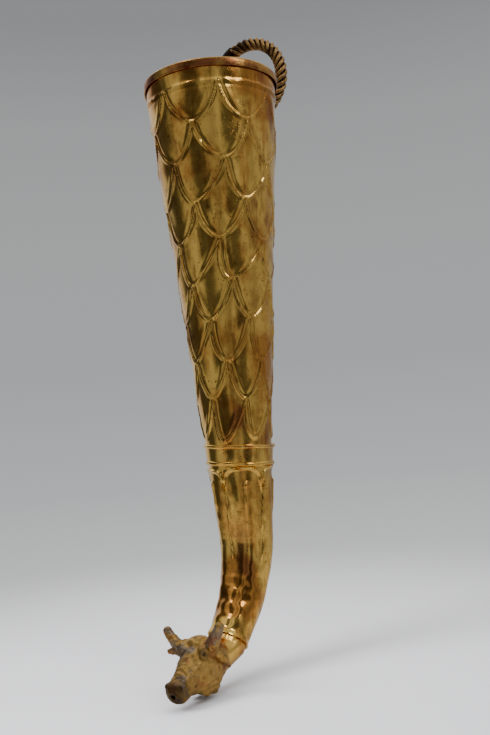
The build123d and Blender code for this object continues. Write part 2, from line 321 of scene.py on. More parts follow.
def patches(node, where, size, low, high, least=0.0, most=1.0, detail=4.0, stretch=(1, 1, 1)):
    """Patches of one size: the least where the cloudy pattern is under low, the most above high."""
    return node("MapRange", SMOOTH, cloud(node, where, size, detail, stretch), low, high, least, most)


def layered(node, ground, *layers):
    """Ground colour under (share, colour) layers, in order."""
    for share, colour in layers:
        ground = node("Mix", COLOURS, share, ground, colour)
    return ground


def dirt_and_shade_marks(node, strength):
    """Dark marks that a piece keeps on its vertices: film in the sheet's grooves, and on the head
    painted shade in the eyes and nostrils with a dark tint on the muzzle.
    """
    marks = node("Attribute", {"attribute_name": "film"}).outputs["Fac"]
    return node("Math", MULTIPLY, marks, strength)


def finish_metal(node, colour, roughness, height, relief, bare=1.0):
    """Metal shader with a bump whose height runs over relief millimetres; bare is the share of the
    surface that is clean metal rather than dull oxide."""
    bump = node("Bump", Strength=1.0, Distance=relief * MM, Height=height)
    shader = node("BsdfPrincipled", Metallic=bare, Base_Color=colour, Roughness=roughness, Normal=bump)
    node("OutputMaterial", Surface=shader)


# ---------------------------------------------------------------- materials
HEATED_AT = (4.0, -24.0, -343.0)  # inside of the neck's bend, reddened by the torch
INSIDE_BARE = 0.35  # clean metal left inside the horn, as a share

# Where more or less film lies: from one height or distance to another, and how much at each
HANDLED = (-70.0, -8.0, 0.0, 0.12)  # by height: hands darken the mouth's end
KEPT_CLEAN = (-290.0, -262.0, -0.07, 0.0)  # by height: the neck stays yellower
REDDENED = (10.0, 30.0, 0.3, 0.0)  # by distance from the heated place
BURNISHED = (14.0, 36.0, 0.08, 0.0)  # by distance too: how much smoother it is there
# The rim's film thins towards its top, leaving a brighter gilt line: painted highlight as well as wear.
TOP_HIGHLIGHT_AND_WEAR = (-1.5, -0.2, 1.0, 0.15)  # by height: film left on the rim's top
SOCKET_END = (14.0, 18.5)  # ahead of here the casting is left unpolished
SOCKET_START = (-60.0, -30.0)  # behind here, on the lug, it is unpolished too
# Painted shade in the ring's lays: full at the first depth, none at the second.
LAY_DEPTH = (3.7, 4.7)  # from the ring's own axis, with 0 to 1 of cloud added


def gilt_beaten_brass(colours):
    """Gilt brass sheet, beaten over a form, chased and burnished: a clear yellow mirror with soft
    vertical streaks from the burnisher, orange and red-brown film in clouds, and pin-hole pits."""
    material, node, where = start_material("gilt brass, beaten and burnished")
    height = node("SeparateXYZ", Vector=where).outputs["Z"]
    heat = node("VectorMath", DISTANCE, where, HEATED_AT)
    cover = cloud(node, where, 42.0)
    for measure, limits in ((height, HANDLED), (height, KEPT_CLEAN), (heat, REDDENED)):
        cover = node("Math", ADD, cover, node("MapRange", SMOOTH, measure, *limits))
    film = node("MapRange", SMOOTH, cover, 0.47, 0.64, 0.0, 0.85)
    stained = patches(node, where, 10.0, 0.49, 0.64, most=0.55, detail=3.0, stretch=(1, 1, 0.3))
    film = node("Math", LARGER, film, stained)
    flushed = patches(node, where, 27.0, 0.53, 0.66, most=0.65, detail=3.0, stretch=(1, 1, 0.5))
    streak = cloud(node, where, 3.0, 3.0, (1, 1, 0.06))
    grime = node("Math", ADD, cloud(node, where, 9.0), streak)
    grime = node("MapRange", SMOOTH, grime, 1.02, 1.3, 0.0, 0.55)
    pits = patches(node, where, 1.6, 0.62, 0.7, detail=2.0)
    pitted = node("Math", MULTIPLY, pits, patches(node, where, 24.0, 0.4, 0.58, detail=2.0))
    colour = layered(node, colours.gilt, (film, colours.film), (flushed, colours.tarnish),
                     (grime, colours.pits), (dirt_and_shade_marks(node, 0.45), colours.pits), (pitted, colours.pits))
    shine = patches(node, where, 14.0, 0.3, 0.75, 0.1, 0.22)
    roughness = node("Math", ADD, shine, node("Math", MULTIPLY, pitted, 0.3))
    smoother = node("MapRange", SMOOTH, heat, *BURNISHED)
    roughness = node("Math", SUBTRACT, roughness, smoother)
    peel = node("Math", MULTIPLY, cloud(node, where, 1.6, 2.0), 0.12)
    hammered = node("Math", ADD, cloud(node, where, 7.0, 2.0), peel)
    sunk = node("Math", MULTIPLY, pitted, 0.2)
    finish_metal(node, colour, roughness, node("Math", SUBTRACT, hammered, sunk), 0.14)
    return material


def dull_inside_brass(colours):
    """Inside of the horn, never burnished: brown oxide over dull brass, blotched and rough."""
    material, node, where = start_material("brass sheet, oxidised inside")
    blotch = patches(node, where, 16.0, 0.35, 0.65, 0.3, 0.9)
    colour = layered(node, colours.cast, (blotch, colours.pits))
    finish_metal(node, colour, 0.6, cloud(node, where, 5.0), 0.3, INSIDE_BARE)
    return material


def tarnished_rolled_brass(colours):
    """Brass strip rolled over the lip: handled and heated, so more red-brown film lies on it, with
    fine streaks round the rim; the film thins along its top, leaving a brighter gilt line that is
    painted highlight as well as wear."""
    material, node, where = start_material("brass strip, rolled and tarnished")
    height = node("SeparateXYZ", Vector=where).outputs["Z"]
    # Less film towards the top: a brighter gilt line there, painted highlight as well as wear.
    film = node("Math", MULTIPLY, patches(node, where, 20.0, 0.3, 0.56, 0.35, 0.95),
                node("MapRange", SMOOTH, height, *TOP_HIGHLIGHT_AND_WEAR))
    streak = cloud(node, where, 2.2, 3.0, (0.12, 0.12, 1.6))
    streaked = node("MapRange", SMOOTH, streak, 0.5, 0.72, 0.0, 0.55)
    colour = layered(node, colours.gilt, (film, colours.tarnish), (streaked, colours.pits))
    roughness = patches(node, where, 8.0, 0.3, 0.7, 0.2, 0.42)
    finish_metal(node, colour, roughness, node("Math", ADD, streak, cloud(node, where, 5.0)), 0.22)
    return material


def cast_brass_skin(colours):
    """Brass cast in a clay mould: dull and grainy, with lead-grey and red-brown patches, dirt in patches,
    painted shade in the eye and nostril pits and a dark tint on the muzzle; only the socket that meets
    the neck is polished and gilt like the sheet."""
    material, node, where = start_material("brass, cast and unpolished")
    grey = patches(node, where, 15.0, 0.52, 0.6, most=0.85, detail=3.0)
    red = patches(node, where, 12.0, 0.53, 0.64, most=0.6, detail=3.0)
    dirt = patches(node, where, 4.0, 0.46, 0.78, most=0.5)
    along = node("SeparateXYZ", Vector=where).outputs["Y"]
    ahead = node("Math", SUBTRACT, NECK_END_Y, along)
    socket = node("Math", MULTIPLY, node("MapRange", SMOOTH, ahead, *SOCKET_END, 1.0, 0.0),
                  node("MapRange", SMOOTH, ahead, *SOCKET_START))
    polished = layered(node, colours.gilt, (patches(node, where, 12.0, 0.35, 0.65, 0.1, 0.9), colours.film))
    # The dirt patches are real dirt; the stored marks on the head are painted shade in the eye and nostril
    # pits and a dark tint on the muzzle.
    colour = layered(node, colours.cast, (grey, colours.grey), (red, colours.tarnish), (dirt, colours.dark_dirt_and_shade),
                     (dirt_and_shade_marks(node, 0.9), colours.dark_dirt_and_shade), (socket, polished))
    unpolished = node("Math", SUBTRACT, 1.0, node("Math", MULTIPLY, socket, 0.62))
    roughness = node("Math", MULTIPLY, patches(node, where, 4.0, 0.3, 0.7, 0.34, 0.54), unpolished)
    grain = node("Math", ADD, cloud(node, where, 1.4), cloud(node, where, 4.0, 2.0))
    finish_metal(node, colour, roughness, node("Math", MULTIPLY, grain, unpolished), 0.4)
    return material


def twisted_brass_with_lay_shade(colours):
    """Heavy brass wire, laid up and hammered round: painted shade darkens the lays between the strands, the
    crowns keep the wire's colour, and patches of dirt lie over both.
    """
    material, node, where = start_material("brass wire, twisted and worn")
    axes = node("SeparateXYZ", Vector=node("VectorMath", SUBTRACT, where, tuple(RING_CENTRE))).outputs
    reach = node("VectorMath", LENGTH, node("CombineXYZ", X=axes["X"], Z=axes["Z"]))
    out = node("Math", SUBTRACT, reach, RING_R)
    depth = node("VectorMath", LENGTH, node("CombineXYZ", X=out, Y=axes["Y"]))
    depth = node("Math", ADD, depth, cloud(node, where, 1.5))
    # Painted shade: the lays between the strands darken with their depth below the crowns.
    lays = node("MapRange", SMOOTH, depth, *LAY_DEPTH, 1.0, 0.0)
    smut = patches(node, where, 11.0, 0.5, 0.64, most=0.8, detail=3.0)
    # The darker share of painted shade in the lays and real dirt in patches.
    dirt = node("Math", LARGER, lays, smut)
    colour = layered(node, colours.wire, (dirt, colours.dark_dirt_and_shade))
    roughness = node("MapRange", SMOOTH, dirt, 0.0, 1.0, 0.42, 0.65)
    finish_metal(node, colour, roughness, cloud(node, where, 1.2), 0.25)
    return material


def blackened_brass(colours):
    """Thin brass sleeve gone black with handling: dark, dull, with a little bare metal."""
    material, node, where = start_material("brass sleeve, blackened")
    bare = patches(node, where, 3.0, 0.6, 0.72, most=0.6)
    colour = layered(node, colours.dark_dirt_and_shade, (bare, colours.wire))
    roughness = node("MapRange", SMOOTH, bare, 0.0, 1.0, 0.55, 0.35)
    finish_metal(node, colour, roughness, cloud(node, where, 2.0), 0.3)
    return material


MADE = {}


def made_material(maker):
    """One copy of each material, made when it is first asked for."""
    if maker.__name__ not in MADE:
        MADE[maker.__name__] = maker(bpy.context.scene.horn_colours)
    return MADE[maker.__name__]


# ---------------------------------------------------------------- beaten cone
ROW_DRIFT = (0.0, 0.8, -5.0, -7.7, -23.4, -28.5, -38.4, -42.7, -53.4)  # each row's slip, degrees
FIRST_SCALE = -20.0  # middle of one scale of the first row, from the front
ARC_POWER, ARC_ROUND = 1.9, 0.72  # shape of a scale: flat at its tip, steep at its sides
ARC_EDGE = 0.985
SEAM_TURN = 180.0
BELOW_OUTLINE = 0.25  # sheet lies this far inside the frame's outline, for its relief
CONE_AROUND = 360  # points round the cone


def cone_r(z):
    """Outside radius of the plain cone at height z."""
    return CONE_TOP_R + TAPER * (z - CONE_TOP_Z)


def scale_relief(turn, z, radius, sizes):
    """Rise of the chased scales, and the dirt beside their lines, by angle and height."""
    rows = np.arange(sizes.scale_rows)
    tips = -sizes.first_row - sizes.row_pitch * rows
    slip = np.interp(z, tips[::-1], np.array(ROW_DRIFT[:sizes.scale_rows])[::-1])
    step = 360.0 / sizes.scales_round
    rise, film = np.zeros_like(z), np.zeros_like(z)
    for row in rows:
        middle = FIRST_SCALE + slip + (row % 2) * step / 2
        share = ((turn - middle) / step + 0.5) % 1 * 2 - 1          # -1 to 1 across one scale
        half_width = np.radians(step / 2) * radius
        across = np.minimum(np.abs(share), ARC_EDGE)
        arc = 1 - (1 - across ** ARC_POWER) ** ARC_ROUND
        curve = tips[row] + sizes.row_pitch * arc
        slope = sizes.row_pitch / half_width * ARC_ROUND * ARC_POWER * across ** (ARC_POWER - 1) * (
            1 - across ** ARC_POWER) ** (ARC_ROUND - 1)
        inside = (z - curve) / np.sqrt(1 + slope ** 2)
        row_top = tips[row] + sizes.row_pitch
        upper = -sizes.bead_depth if row == 0 else row_top
        in_row = fade(z, tips[row] - 3.5, tips[row] - 2.0) * fade(-z, -upper, 1.5 - upper)
        line = bell(inside, sizes.ridge_width) - 0.32 * bell(inside - 1.9, 0.9)
        dome = 0.3 * bell(inside - 4.5, 3.2)
        rise += (sizes.ridge * line + dome) * in_row
        film += (0.8 * bell(inside - 1.7, 0.8) + 0.35 * bell(inside + 1.8, 1.0)) * in_row
    return rise, film


def cone_rings(sizes, heights, inner):
    """Rings of the beaten sheet, outside or inside."""
    turn, z = np.meshgrid(np.linspace(0, 360, CONE_AROUND, endpoint=False), heights)
    angle = np.radians(turn)
    base = cone_r(z)
    place = ring_points(base, angle, z)
    wobble = ripple(place, 9.0, 4)
    shifted = turn - FRONT_TURN + 1.1 * ripple(place, 45.0, 1)
    relief, film = scale_relief(shifted, z + 0.9 * ripple(place, 38.0, 2), base, sizes)
    relief *= 1 + 0.22 * wobble
    seam = np.abs((turn - SEAM_TURN + 180) % 360 - 180)
    relief *= fade(seam, 3.5, 9.0)
    bead = 0.85 * bell(z + sizes.bead_depth + 0.3 * wobble, 0.85) - 0.25 * bell(
        z + sizes.bead_depth + 2.0, 0.9)
    dents = sizes.dents * (ripple(place, 60.0, 3) + 0.6 * ripple(place, 26.0, 5))
    calm = fade(-z, -CONE_TOP_Z, 12.0) * fade(z, WAIST_Z, WAIST_Z + 10)
    radius = base + relief + bead + dents * calm - BELOW_OUTLINE - SHEET * inner
    radius = np.minimum(radius, CONE_TOP_R)
    film += 0.5 * bell(z + sizes.bead_depth + 2.0, 1.4)
    return ring_points(radius, angle, z), film


class HORN_OT_cone(bpy.types.Operator):
    """Beats the cone: plain band, bead and nine rows of chased scales"""

    bl_idname = "horn.cone"
    bl_label = "Beaten cone"

    def execute(self, context):
        sheet_piece("beaten_cone", "horn_cone", cone_rings, np.linspace(CONE_TOP_Z, WAIST_Z, 236),
                    np.linspace(WAIST_Z, CONE_TOP_Z, 34))
        dress(gilt_beaten_brass, "cone_seam_strip")
        return {"FINISHED"}


# ---------------------------------------------------------------- rim
RIM_GIVE = 0.22  # how far its lower edge is beaten in
RIM_WAVE = 0.22  # how deep its top dips
LEG_WAVE = 0.28  # how much its lower edge wanders up and down


class HORN_OT_rim(bpy.types.Operator):
    """Rolls the rim strip over its hem wire"""

    bl_idname = "horn.rim"
    bl_label = "Rolled rim"

    def execute(self, context):
        outer, top, foot = RIM_HIGH.x - 0.1, RIM_HIGH.z, RIM_LOW.z
        leg = foot + 0.5
        inner = cone_r(foot) - SHEET - 1.3
        profile = np.array([
            (outer, leg + 0.25), (outer - 0.12, leg + 0.02), (outer - 0.55, leg), (outer - 0.78, leg + 0.3),
            (outer - 0.8, -2.6), (outer - 0.85, -1.1), (outer - 1.5, -0.75), (inner + 1.4, -0.75),
            (inner + 0.85, -1.1), (inner + 0.8, -3.0), (inner + 0.75, foot + 0.2), (inner + 0.4, foot),
            (inner + 0.05, foot + 0.2), (inner, -3.0), (inner, -0.9), (inner + 0.25, -0.35),
            (inner + 0.9, top), (outer - 1.3, top), (outer - 0.5, -0.16), (outer - 0.1, -0.6),
            (outer, -1.2), (outer - 0.05, -2.8),
        ])
        turn = np.radians(np.linspace(0, 360, 300, endpoint=False))
        rings = []
        for radius, z in profile:
            ring = ring_points(radius, turn, z)
            low = abs(z / foot)
            give = RIM_GIVE * (ripple(ring, 30.0, 11) - 1.0) * low
            ring[:, :2] *= (1 + give / radius)[:, None]
            dip = RIM_WAVE * (ripple(ring, 40.0, 13) + 2) / 2
            ring[:, 2] += LEG_WAVE * ripple(ring, 34.0, 12) * low - dip
            rings.append(ring)
        rim = sleeve("rolled_rim", np.array(rings), 60.0)
        finish_piece(rim, tarnished_rolled_brass, "rim_brass", "horn", "rim_band")
        dress(tarnished_rolled_brass, "rim_wire")
        return {"FINISHED"}


# ---------------------------------------------------------------- waist collar
COLLAR_SKEW = 1.6  # how far one side of the collar sits lower
RIDGE_AT = 5.7  # from the collar's middle to each ridge
RIDGE_RISE, RIDGE_HALF = 1.05, 1.35
COLLAR_RISE = 0.5  # the collar's own sheet, turned down by EDGE_DROP at its edges
EDGE_DROP = 0.45
COLLAR_TUCK = -0.6  # its back lies this far under the sheet
NECK_TAPER = 0.0735  # radius lost in each millimetre of the neck


class HORN_OT_collar(bpy.types.Operator):
    """Shapes the waist collar with its two hand-beaten ridges"""

    bl_idname = "horn.collar"
    bl_label = "Waist collar"

    def execute(self, context):
        middle = (COLLAR_LOW.z + COLLAR_HIGH.z) / 2
        half = (COLLAR_HIGH.z - COLLAR_LOW.z) / 2
        heights = np.linspace(half, -half, 60)
        rise = COLLAR_RISE - EDGE_DROP * fade(np.abs(heights), half - 0.8, half)
        for side in (-1, 1):
            off = (heights - side * RIDGE_AT) / RIDGE_HALF
            rise += RIDGE_RISE * np.sqrt(np.clip(1 - off ** 2, 0, 1))
        turn = np.radians(np.linspace(0, 360, 240, endpoint=False))
        rings = []
        for z, up in [*zip(heights, rise), (-half, COLLAR_TUCK), (half, COLLAR_TUCK)]:
            base = cone_r(middle + z) if z > 0 else WAIST_R + NECK_TAPER * z
            ring = ring_points(base, turn, middle + z)
            radius = base + (up * (1 + 0.18 * ripple(ring, 12.0, 21)) if up > 0 else up)
            ring = ring_points(radius, turn, middle + z)
            skew = COLLAR_SKEW * np.sin(turn - math.radians(FRONT_TURN))
            ring[:, 2] -= skew - 0.25 * ripple(ring, 16.0, 22)
            rings.append(ring)
        collar = sleeve("beaten_collar", np.array(rings))
        finish_piece(collar, gilt_beaten_brass, "gilt_sheet", "horn", "waist_collar")
        return {"FINISHED"}


# ---------------------------------------------------------------- fluted neck
LEG_JOIN = 27.0  # from the waist to where two legs of the arches meet
LEG_START = (13.0, 17.0)  # where the legs begin, along the neck
LEG_GAP = 1.9  # from the middle of a pair to each leg, above the join
RIB_START = (16.0, 18.5)  # where the short rib between two legs begins
RIB_END = 72.0  # where the joined legs end
DROP_AT = 19.0  # the drop-shaped head of the short rib
FIRST_ARCH = -34.0  # where the first arch begins, in degrees from the front
ARCH_TOP = 8.4  # from the waist to the top of an arch
ARCH_HEIGHT, ARCH_POWER = 11.0, 2.6
CROWN_FADE = (-20.0, -16.0)  # the arch's crown fades into its legs here, counted upwards
NECK_BELOW = 0.2  # as BELOW_OUTLINE, for the neck
NECK_AROUND = 280  # points round the neck
WRINKLE = 9.5  # spacing of the creases inside the bend


def neck_axis(s):
    """Middle line at distance s from the waist: point and direction, in the YZ plane."""
    bend = np.clip((s - NECK_STRAIGHT) / NECK_BEND_R, 0, NECK_BEND_ANGLE)
    straight = np.minimum(s, NECK_STRAIGHT)
    tail = np.maximum(s - NECK_LENGTH + NECK_TAIL, 0)
    forward = NECK_BEND_R * (1 - np.cos(bend)) + tail * np.sin(bend)
    drop = straight + NECK_BEND_R * np.sin(bend) + tail * np.cos(bend)
    return -forward, WAIST_Z - drop, bend


def neck_relief(turn, s, radius, sizes):
    """Rise of the arches, ribs and creases; turn in degrees from the front, s along the neck."""
    step = 360.0 / sizes.flutes
    share = ((turn - FIRST_ARCH) / step) % 1 * 2 - 1
    half_width = np.radians(step / 2) * radius
    aside = (1 - np.abs(share)) * half_width
    gap = LEG_GAP * fade(-s, -LEG_JOIN, -LEG_JOIN + 12) + 0.05
    begun = fade(s, *LEG_START)
    legs = bell(aside - gap, 0.6) * begun * fade(-s, -RIB_END, -RIB_END + 5)
    top = ARCH_TOP + ARCH_HEIGHT * (1 - np.sqrt(np.clip(1 - np.abs(share) ** ARCH_POWER, 0, 1)))
    slant = np.sqrt(1 + (3 * np.abs(share) ** 3) ** 2)
    crown_part = fade(-s, *CROWN_FADE)
    crown = bell((s - top) / slant, 0.95) * crown_part
    hollow = -0.55 * bell(aside, 1.0) * fade(s, 10, 14) * fade(-s, -LEG_JOIN, -LEG_JOIN + 8)
    middle = np.abs(share - 0.12) * half_width
    rib_begun = fade(s, *RIB_START)
    rib = bell(middle, 0.9) * rib_begun * fade(-s, -44.0, -30.0)
    drop_head = bell(np.hypot(middle, s - DROP_AT), 1.9)
    flute = -0.7 * np.cos(np.pi * share) * fade(s, 8, 30) * fade(-s, -104, -84)
    film = 0.5 * bell(aside - gap - 1.6, 0.9) * begun + 0.4 * bell(middle - 1.6, 0.7) * rib_begun
    film *= fade(-s, -RIB_END - 6, -RIB_END + 5)
    film += 0.4 * bell(s - top - 2.2, 1.0) * crown_part
    return 1.5 * legs + 1.3 * crown + hollow + 1.0 * rib + 0.7 * drop_head - 0.6 * flute, film


def neck_rings(sizes, stops, inner):
    """Rings of the neck's sheet, outside or inside."""
    turn, s = np.meshgrid(np.linspace(0, 360, NECK_AROUND, endpoint=False), stops)
    angle = np.radians(turn)
    y, z, bend = neck_axis(s)
    base = WAIST_R + (NECK_END_R - WAIST_R) * s / NECK_LENGTH

    def around_axis(radius):
        front = radius * np.cos(angle)
        return np.stack([radius * np.sin(angle), y - front * np.cos(bend), z + front * np.sin(bend)], -1)

    place = around_axis(base)
    shifted = turn - FRONT_TURN + 1.5 * ripple(place, 30.0, 31)
    relief, film = neck_relief(shifted, s + 0.7 * ripple(place, 22.0, 32), base, sizes)
    relief *= 1 + 0.2 * ripple(place, 8.0, 33)
    inside_bend = np.exp(-(np.abs((turn + 180) % 360 - 180) / 62.0) ** 2)
    bent = fade(s, 72, 88) * fade(-s, -NECK_LENGTH, -NECK_LENGTH + 8)
    crease = inside_bend * bent * (np.sin(s * 2 * np.pi / WRINKLE + 1.2 * ripple(place, 25.0, 34)) - 0.4)
    facets = ripple(place * (1, 1, 0.35), 9.0, 35) * fade(s, 74, 92) * 0.3
    dents = sizes.dents * (0.9 * ripple(place, 44.0, 36) + 0.12 * ripple(place, 16.0, 37))
    lip = 0.7 * fade(s, NECK_LENGTH - 3.5, NECK_LENGTH)
    calm = fade(s, 1.0, 9.0)
    radius = base + (relief + 0.3 * crease + facets + dents) * calm + lip - NECK_BELOW - SHEET * inner
    return around_axis(radius), film


class HORN_OT_neck(bpy.types.Operator):
    """Beats the bent neck with its arches, ribs and creases"""

    bl_idname = "horn.neck"
    bl_label = "Fluted neck"

    def execute(self, context):
        sheet_piece("fluted_neck", "neck_tube", neck_rings, np.linspace(0, NECK_LENGTH, 250),
                    np.linspace(NECK_LENGTH, 0, 60))
        return {"FINISHED"}


# ---------------------------------------------------------------- bull's head
NECK_END_Y, NECK_END_Z = (float(v) for v in neck_axis(np.array(NECK_LENGTH))[:2])

# Sections of the skull: ahead of the neck's end, rise, pitch below level, half depth, half width,
# and the power of the outline, where 2 is an ellipse and more is squarer
SKULL = (
    (-5.0, 5.0, 48.0, 12.2, 12.2, 2.0),
    (3.0, -2.6, 48.0, 12.4, 12.2, 2.0),
    (11.0, -4.2, 40.0, 12.0, 11.2, 2.2),
    (20.0, -4.6, 24.0, 13.0, 11.0, 2.3),
    (29.0, -7.2, 13.0, 16.4, 11.8, 2.4),
    (36.0, -8.6, 14.0, 14.8, 11.2, 2.4),
    (43.0, -10.6, 20.0, 11.0, 8.8, 2.3),
    (49.0, -12.6, 24.0, 8.0, 7.2, 2.2),
    (54.0, -14.2, 24.0, 7.4, 7.0, 2.1),
    (56.6, -15.4, 24.0, 7.1, 6.9, 2.0),
    (58.0, -16.0, 24.0, 6.5, 6.3, 2.0),
    (58.9, -16.4, 24.0, 5.4, 5.2, 2.0),
    (59.3, -16.6, 24.0, 3.6, 3.5, 2.0),
)


def head_point(side, ahead, rise):
    """Point of the head in millimetres of the frame."""
    return Vector((side, NECK_END_Y - ahead, NECK_END_Z + rise))


def skull_rings(around):
    """Sections of the skull as rings of points."""
    angle = np.linspace(0, 2 * np.pi, around, endpoint=False)
    rings = []
    for ahead, rise, pitch, deep, wide, power in SKULL:
        c, s = np.cos(angle), np.sin(angle)
        across = wide * np.sign(c) * np.abs(c) ** (2 / power)
        up = deep * np.sign(s) * np.abs(s) ** (2 / power)
        tilt = math.radians(pitch)
        middle = np.array(head_point(0, ahead, rise))
        rings.append(np.stack([middle[0] + across, middle[1] - up * math.sin(tilt),
                               middle[2] + up * math.cos(tilt)], -1))
    return np.array(rings)


def add_lump(shell, centre, size, pitch=0.0):
    """Adds a rounded lump to the rough form before its parts are melted together."""
    matrix = Matrix.LocRotScale(centre, Euler((math.radians(pitch), 0, 0)), Vector(size))
    bmesh.ops.create_icosphere(shell, subdivisions=4, radius=1.0, matrix=matrix)


def add_sections(shell, sections):
    """Adds a closed form through whole sections, all with as many points."""
    rings = [[shell.verts.new(Vector(point)) for point in section] for section in sections]
    count = len(rings[0])
    for low, high in zip(rings, rings[1:]):
        for i in range(count):
            j = (i + 1) % count
            shell.faces.new((low[i], low[j], high[j], high[i]))
    shell.faces.new(rings[0])
    shell.faces.new(rings[-1])


FACING = Vector((0, -1, 0))  # the way the head looks


def add_path(shell, stations, around, flat=1.0):
    """Adds a limb through (point, radius) stations, round or flattened from front to back."""
    sections = []
    for i, (point, radius) in enumerate(stations):
        before, after = stations[max(i - 1, 0)][0], stations[min(i + 1, len(stations) - 1)][0]
        along = (after - before).normalized()
        first = along.cross(FACING).normalized()
        second = along.cross(first) * flat
        sections.append([point + radius * (first * math.cos(a) + second * math.sin(a))
                         for a in np.linspace(0, 2 * math.pi, around, endpoint=False)])
    add_sections(shell, sections)


def melt(name, shell, grain, passes):
    """One skin round all the lumps, smoothed like soft clay."""
    obj = solid_from(name, shell)
    remesh = obj.modifiers.new("skin", "REMESH")
    remesh.mode = "VOXEL"
    remesh.voxel_size = grain * MM
    remesh.use_smooth_shade = True
    soften = obj.modifiers.new("soften", "SMOOTH")
    soften.factor = 0.5
    soften.iterations = passes
    apply_modifiers(obj)
    obj.data.name = name
    return obj


def mesh_points(obj):
    """Vertices and normals as arrays, points in millimetres."""
    count = len(obj.data.vertices)
    points, normals = np.empty(count * 3), np.empty(count * 3)
    obj.data.vertices.foreach_get("co", points)
    obj.data.vertices.foreach_get("normal", normals)
    return points.reshape(-1, 3) * PER_M, normals.reshape(-1, 3)


def push(obj, points, normals, rise):
    """Moves the skin out along its normals, in millimetres."""
    moved = points + normals * rise[:, None]
    obj.data.vertices.foreach_set("co", (moved * MM).ravel())
    obj.data.polygons.foreach_set("use_smooth", [True] * len(obj.data.polygons))
    obj.data.update()


# Lumps melted into the skull: side, ahead, rise, half sizes (side, ahead, rise), pitch
LUMPS = (
    (7.6, 36.2, 5.4, 3.8, 4.8, 2.8, 20.0),  # brow
    (8.4, 38.4, 2.8, 2.6, 2.8, 2.4, 20.0),  # eyeball
    (7.8, 32.4, 4.4, 5.0, 5.4, 5.2, 0.0),  # root of the horn
    (7.0, 34.0, -12.5, 3.4, 8.0, 9.5, -14.0),  # cheek and jaw
    (6.6, 34.5, -18.4, 2.6, 6.6, 4.4, -6.0),  # edge of the jaw
    (6.6, 28.2, -18.4, 3.4, 5.0, 5.0, 0.0),  # corner of the jaw
    (7.4, 25.6, -12.6, 4.0, 4.4, 6.4, 0.0),  # rear of the jaw
    (4.4, 56.0, -11.6, 3.0, 3.2, 2.6, 24.0),  # nostril
)
MID_LUMPS = (
    (0.0, 31.0, 7.6, 8.0, 6.0, 3.6, 8.0),  # poll
    (0.0, 45.0, -15.5, 5.6, 8.5, 4.2, 26.0),  # floor of the mouth
    (0.0, 50.0, -5.6, 3.4, 9.0, 2.6, 40.0),  # bridge of the nose
)
EYE_AT = (10.6, 39.6, 3.4)
NOSTRIL_AT = (4.9, 58.6, -11.2)
FACET = ((10.0, 1.0, 9.0), (12.6, 17.0, 2.0))  # crease on the left of the polished socket
FOLD_PITCH, JAW_PITCH = 2.6, 3.4  # spacing of the folds on the nose and along the jaw
MOUTH_AT = (0.0, 60.0, -16.6)
MOUTH_R = 1.6
MOUTH_PITCH = 24.0
MOUTH_LENGTH = 12.0  # bore from in front of the lips to the hollow
MOUTH_CLEAR = 3.0  # how far in front of the lips it starts
HEAD_WALL = 3.0
SOLID_MUZZLE = 4  # sections of the muzzle that the hollow leaves out
HEAD_GRAIN = 0.42  # voxel of the head's skin, and of the finer limbs
LIMB_GRAIN = 0.3

# Limbs by hand, 1 on the animal's left: side, ahead, rise and radius at each station
HORN_STATIONS = {1: ((7.0, 31.0, 2.0, 5.0), (10.6, 32.4, 7.0, 4.6), (13.6, 33.0, 11.0, 4.0),
                     (16.6, 33.8, 15.4, 3.4), (18.6, 34.3, 18.8, 2.9)),
                 -1: ((7.0, 33.0, 1.0, 4.6), (10.6, 35.2, 4.8, 4.2), (13.8, 36.0, 7.6, 3.5),
                      (16.8, 36.6, 11.2, 3.0), (19.0, 36.8, 14.6, 2.8))}
EAR_STATIONS = {1: ((8.5, 31.5, 3.0, 2.6), (11.8, 28.8, 0.4, 3.1), (13.2, 25.4, -3.2, 3.3),
                    (13.8, 22.2, -6.4, 2.5), (13.8, 20.4, -8.2, 1.2)),
                -1: ((8.0, 35.0, 3.0, 2.5), (12.0, 37.4, 3.2, 2.6), (15.0, 38.6, 3.0, 2.3),
                     (17.0, 39.2, 2.8, 1.4))}
EAR_FLAT = 0.6  # ear's thickness as a share of its width
SIDE_NAMES = {1: "left", -1: "right"}


def near_pair(points, spot):
    """Distance to a spot of the head or to its twin on the other side."""
    local = points - np.array(head_point(0, 0, 0))
    return np.sqrt((np.abs(local[:, 0]) - spot[0]) ** 2 + (local[:, 1] + spot[1]) ** 2
                   + (local[:, 2] - spot[2]) ** 2)


